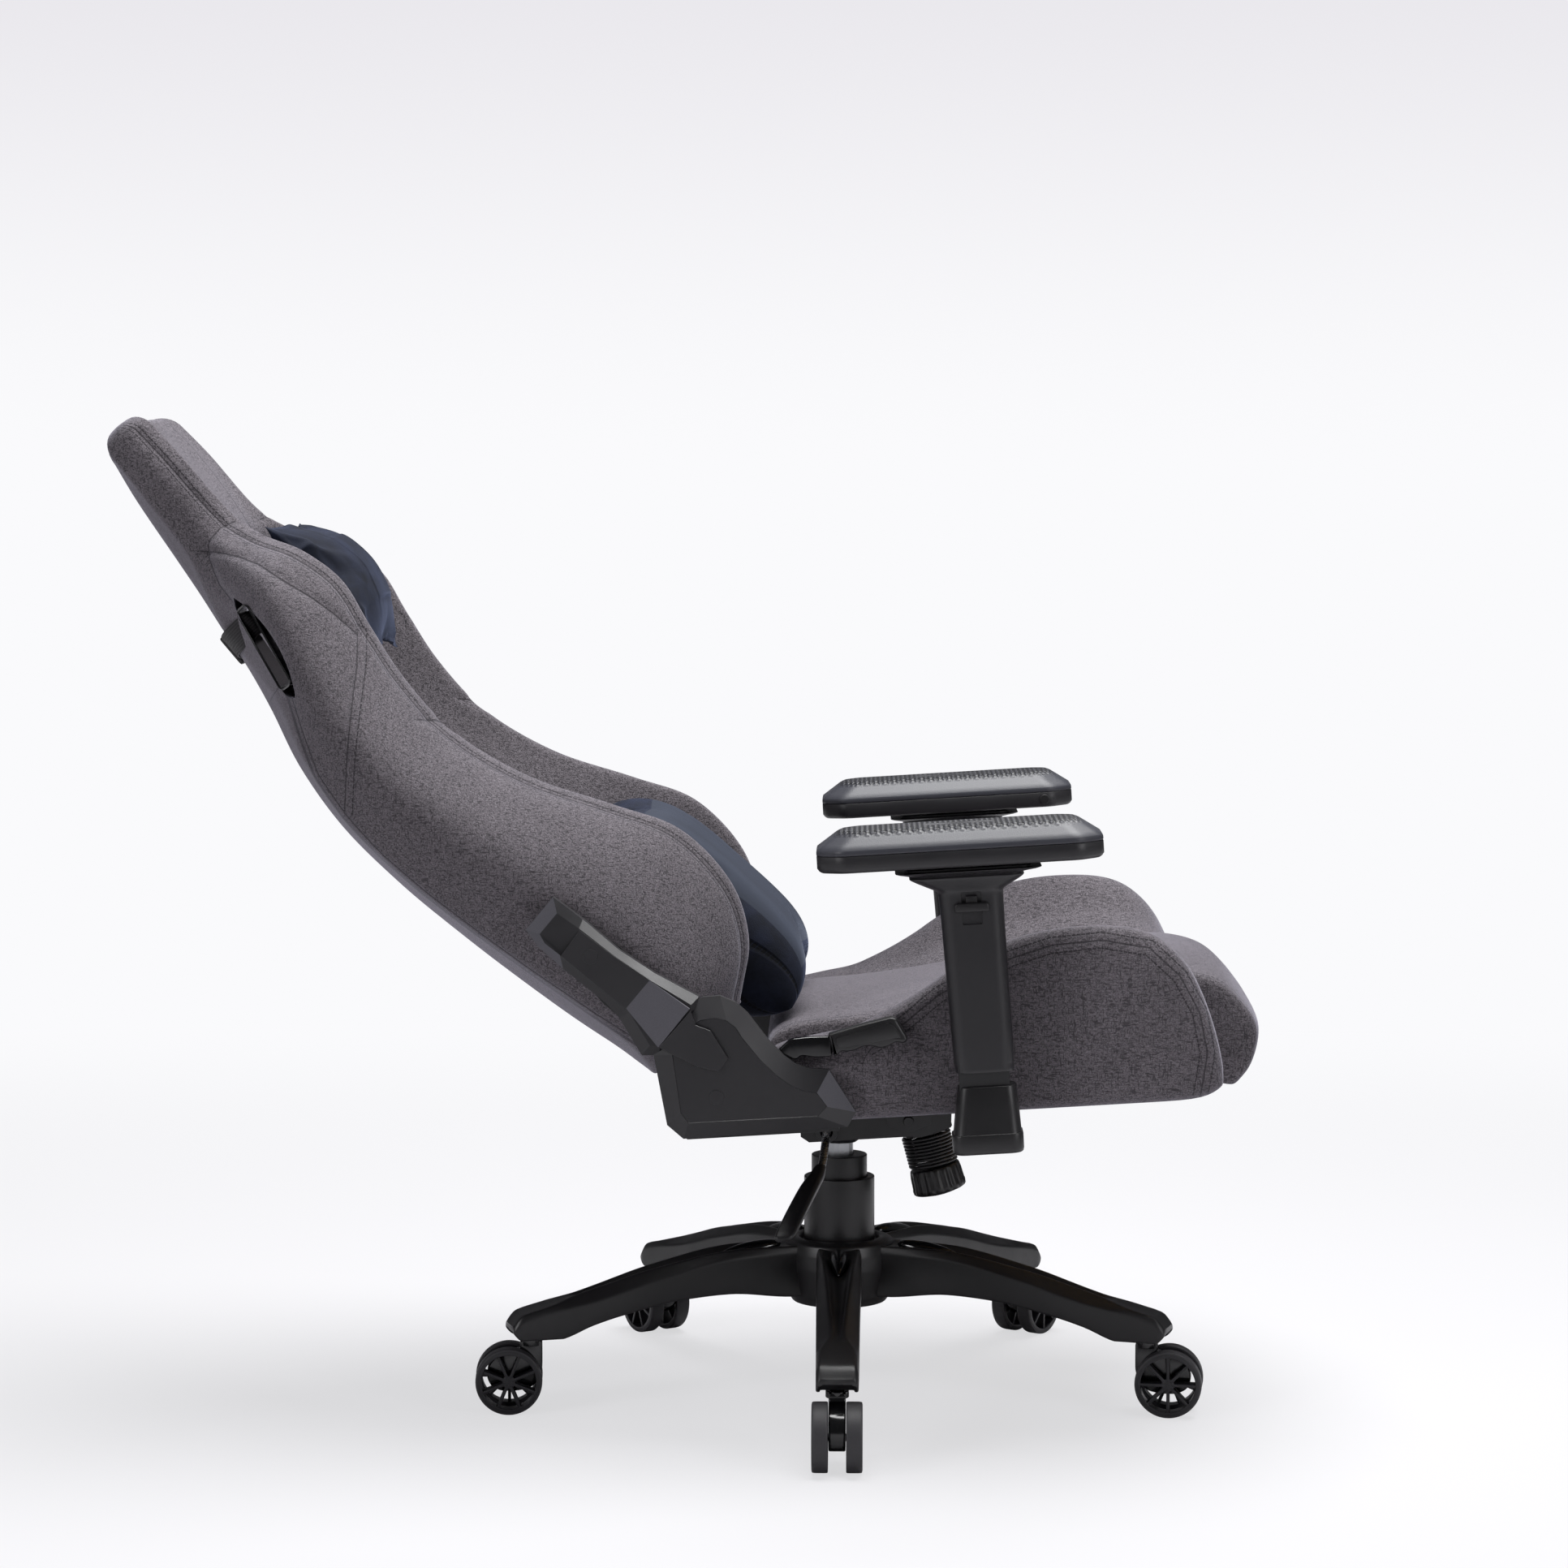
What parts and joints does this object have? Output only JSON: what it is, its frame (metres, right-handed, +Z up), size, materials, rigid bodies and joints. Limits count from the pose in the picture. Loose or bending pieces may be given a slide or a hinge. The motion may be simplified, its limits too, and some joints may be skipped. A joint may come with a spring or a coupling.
{
  "type": "gaming chair",
  "caption": "Reclining bucket-style gaming chair in woven fabric with neck and lumbar pillows, adjustable armrests, gas lift and a five-star caster base.",
  "frame": {"origin": "on the floor, at the middle of the bounding box", "axes": "+Z up; the sitter faces -Y and the sitter's right hand is at -X; +Y is the longest extent and +X the shortest"},
  "size_m": [0.714, 1.136, 0.9851],
  "materials": {
    "grey_fabric": "charcoal melange woven fabric",
    "navy_velour": "dark navy short-pile velour",
    "slate_cloth": "slate blue smooth cloth and navy velour",
    "matte_nylon": "matte black moulded nylon",
    "matte_cover": "matte black moulded cover",
    "gloss_plastic": "glossy black plastic",
    "pad_rubber": "soft polyurethane, dark grey",
    "black_steel": "black powder coat",
    "bright_steel": "ground steel rod",
    "wheel_tread": "black nylon wheel with dark grey polyurethane tread",
    "plywood": "moulded plywood",
    "webbing": "ribbed black elastic webbing"
  },
  "bodies": {
    "base": {"star_base": "matte_nylon", "gas_cylinder": "black_steel", "cover_lower": "matte_nylon", "cover_middle": "matte_nylon"},
    "gas_piston": {"gas_piston": "bright_steel"},
    "mechanism": {"tilt_housing": "black_steel", "tension_spring": "black_steel"},
    "tension_knob": {"tension_knob": "matte_nylon"},
    "lever_bush": {"lever_block": "matte_nylon"},
    "lift_lever": {"lift_lever": "black_steel", "lever_grip": "matte_nylon"},
    "seat": {"seat_plate": "black_steel", "seat_board": "plywood", "seat_cushion": "grey_fabric", "seat_bolster_right": "grey_fabric", "recliner_plate_right": "black_steel", "lower_cover_right": "matte_cover", "arm_post_right": "black_steel", "arm_boot_right": "matte_nylon", "seat_bolster_left": "grey_fabric", "recliner_plate_left": "black_steel", "lower_cover_left": "matte_cover", "arm_post_left": "black_steel", "arm_boot_left": "matte_nylon"},
    "recline_handle": {"recline_handle": "matte_cover"},
    "back": {"back_bracket": "black_steel", "back_cushion": "grey_fabric", "neck_strap": "webbing", "neck_pillow": "navy_velour", "lumbar_pillow": "slate_cloth", "back_wing_right": "grey_fabric", "upper_cover_right": "matte_cover", "slot_trim_right": "gloss_plastic", "back_wing_left": "grey_fabric", "upper_cover_left": "matte_cover", "slot_trim_left": "gloss_plastic"},
    "caster_1": {"caster_hood_1": "gloss_plastic"},
    "wheels_1": {"caster_wheels_1": "wheel_tread"},
    "caster_2": {"caster_hood_2": "gloss_plastic"},
    "wheels_2": {"caster_wheels_2": "wheel_tread"},
    "caster_3": {"caster_hood_3": "gloss_plastic"},
    "wheels_3": {"caster_wheels_3": "wheel_tread"},
    "caster_4": {"caster_hood_4": "gloss_plastic"},
    "wheels_4": {"caster_wheels_4": "wheel_tread"},
    "caster_5": {"caster_hood_5": "gloss_plastic"},
    "wheels_5": {"caster_wheels_5": "wheel_tread"},
    "arm_right": {"arm_sleeve_right": "matte_nylon"},
    "trigger_right": {"height_trigger_right": "matte_nylon"},
    "pad_cross_plate_right": {"pad_cross_plate_right": "black_steel"},
    "pad_turn_plate_right": {"pad_turn_plate_right": "black_steel"},
    "pad_right": {"pad_base_right": "matte_nylon", "pad_top_right": "pad_rubber"},
    "pad_button_right": {"pad_button_right": "matte_nylon"},
    "arm_left": {"arm_sleeve_left": "matte_nylon"},
    "trigger_left": {"height_trigger_left": "matte_nylon"},
    "pad_cross_plate_left": {"pad_cross_plate_left": "black_steel"},
    "pad_turn_plate_left": {"pad_turn_plate_left": "black_steel"},
    "pad_left": {"pad_base_left": "matte_nylon", "pad_top_left": "pad_rubber"},
    "pad_button_left": {"pad_button_left": "matte_nylon"}
  },
  "joints": [
    {"name": "gas_lift", "type": "slide", "parent": "base", "child": "gas_piston", "axis": [0, 0, 1], "range_m": [0, 0.08]},
    {"name": "seat_swivel", "type": "hinge", "parent": "gas_piston", "child": "mechanism", "pos_m": [0.018, -0.16003, 0.265], "axis": [0, 0, 1], "continuous": true},
    {"name": "seat_tilt", "type": "hinge", "parent": "mechanism", "child": "seat", "pos_m": [0.018, -0.22905, 0.28325], "axis": [-1, 0, 0], "range_deg": [0, 12], "stiffness_Nm_per_rad": 150, "springref_deg": -22.92},
    {"name": "tension_knob_turn", "type": "hinge", "parent": "mechanism", "child": "tension_knob", "pos_m": [0.018, -0.24787, 0.27037], "axis": [0, 0.2538, 0.9673], "continuous": true},
    {"name": "tilt_lock", "type": "slide", "parent": "mechanism", "child": "lever_bush", "axis": [-1, 0, 0], "range_m": [0, 0.012]},
    {"name": "lever_lift", "type": "hinge", "parent": "lever_bush", "child": "lift_lever", "pos_m": [-0.033, -0.14757, 0.27225], "axis": [0, 0.9981, -0.061], "range_deg": [0, 8], "stiffness_Nm_per_rad": 1.5, "springref_deg": -17.19},
    {"name": "recline", "type": "hinge", "parent": "seat", "child": "back", "pos_m": [0.018, -0.0332, 0.38949], "axis": [-1, 0, 0], "range_deg": [-35, 20], "deforming": ["lumbar_pillow"]},
    {"name": "handle_pull", "type": "hinge", "parent": "seat", "child": "recline_handle", "pos_m": [-0.2374, -0.08744, 0.37077], "axis": [-1, 0, 0], "range_deg": [0, 12], "stiffness_Nm_per_rad": 4, "springref_deg": -17.19},
    {"name": "caster_swivel_1", "type": "hinge", "parent": "base", "child": "caster_1", "pos_m": [-0.302, -0.16003, 0], "axis": [0, 0, 1], "continuous": true},
    {"name": "wheel_spin_1", "type": "hinge", "parent": "caster_1", "child": "wheels_1", "pos_m": [-0.324, -0.16003, 0.033], "axis": [0, -1, 0], "continuous": true},
    {"name": "caster_swivel_2", "type": "hinge", "parent": "base", "child": "caster_2", "pos_m": [-0.08088, -0.46437, 0], "axis": [0, 0, 1], "continuous": true},
    {"name": "wheel_spin_2", "type": "hinge", "parent": "caster_2", "child": "wheels_2", "pos_m": [-0.08357, -0.4862, 0.033], "axis": [0.9925, -0.1219, 0], "continuous": true},
    {"name": "caster_swivel_3", "type": "hinge", "parent": "base", "child": "caster_3", "pos_m": [0.27688, -0.34812, 0], "axis": [0, 0, 1], "continuous": true},
    {"name": "wheel_spin_3", "type": "hinge", "parent": "caster_3", "child": "wheels_3", "pos_m": [0.29512, -0.36042, 0.033], "axis": [0.5592, 0.829, 0], "continuous": true},
    {"name": "caster_swivel_4", "type": "hinge", "parent": "base", "child": "caster_4", "pos_m": [0.27688, 0.02806, 0], "axis": [0, 0, 1], "continuous": true},
    {"name": "wheel_spin_4", "type": "hinge", "parent": "caster_4", "child": "wheels_4", "pos_m": [0.29512, 0.04036, 0.033], "axis": [-0.5592, 0.829, 0], "continuous": true},
    {"name": "caster_swivel_5", "type": "hinge", "parent": "base", "child": "caster_5", "pos_m": [-0.08088, 0.14431, 0], "axis": [0, 0, 1], "continuous": true},
    {"name": "wheel_spin_5", "type": "hinge", "parent": "caster_5", "child": "wheels_5", "pos_m": [-0.08242, 0.16625, 0.033], "axis": [-0.9976, -0.0698, 0], "continuous": true},
    {"name": "arm_height_right", "type": "slide", "parent": "seat", "child": "arm_right", "axis": [0, 0.061, 0.9981], "range_m": [-0.012, 0.06]},
    {"name": "trigger_lift_right", "type": "slide", "parent": "arm_right", "child": "trigger_right", "axis": [0, 0.061, 0.9981], "range_m": [0, 0.003], "stiffness_N_per_m": 400, "springref_m": -0.004},
    {"name": "pad_across_right", "type": "slide", "parent": "arm_right", "child": "pad_cross_plate_right", "axis": [1, 0, 0], "range_m": [-0.012, 0.012]},
    {"name": "pad_turn_right", "type": "hinge", "parent": "pad_cross_plate_right", "child": "pad_turn_plate_right", "pos_m": [-0.272, -0.28172, 0.56048], "axis": [0, 0.061, 0.9981], "range_deg": [-20, 20]},
    {"name": "pad_along_right", "type": "slide", "parent": "pad_turn_plate_right", "child": "pad_right", "axis": [0, -0.9981, 0.061], "range_m": [-0.025, 0.025]},
    {"name": "pad_button_press_right", "type": "slide", "parent": "pad_right", "child": "pad_button_right", "axis": [-1, 0, 0], "range_m": [0, 0.002], "stiffness_N_per_m": 500, "springref_m": -0.002},
    {"name": "arm_height_left", "type": "slide", "parent": "seat", "child": "arm_left", "axis": [0, 0.061, 0.9981], "range_m": [-0.012, 0.06]},
    {"name": "trigger_lift_left", "type": "slide", "parent": "arm_left", "child": "trigger_left", "axis": [0, 0.061, 0.9981], "range_m": [0, 0.003], "stiffness_N_per_m": 400, "springref_m": -0.004},
    {"name": "pad_across_left", "type": "slide", "parent": "arm_left", "child": "pad_cross_plate_left", "axis": [1, 0, 0], "range_m": [-0.012, 0.012]},
    {"name": "pad_turn_left", "type": "hinge", "parent": "pad_cross_plate_left", "child": "pad_turn_plate_left", "pos_m": [0.308, -0.28172, 0.56048], "axis": [0, 0.061, 0.9981], "range_deg": [-20, 20]},
    {"name": "pad_along_left", "type": "slide", "parent": "pad_turn_plate_left", "child": "pad_left", "axis": [0, -0.9981, 0.061], "range_m": [-0.025, 0.025]},
    {"name": "pad_button_press_left", "type": "slide", "parent": "pad_left", "child": "pad_button_left", "axis": [1, 0, 0], "range_m": [0, 0.002], "stiffness_N_per_m": 500, "springref_m": -0.002}
  ]
}
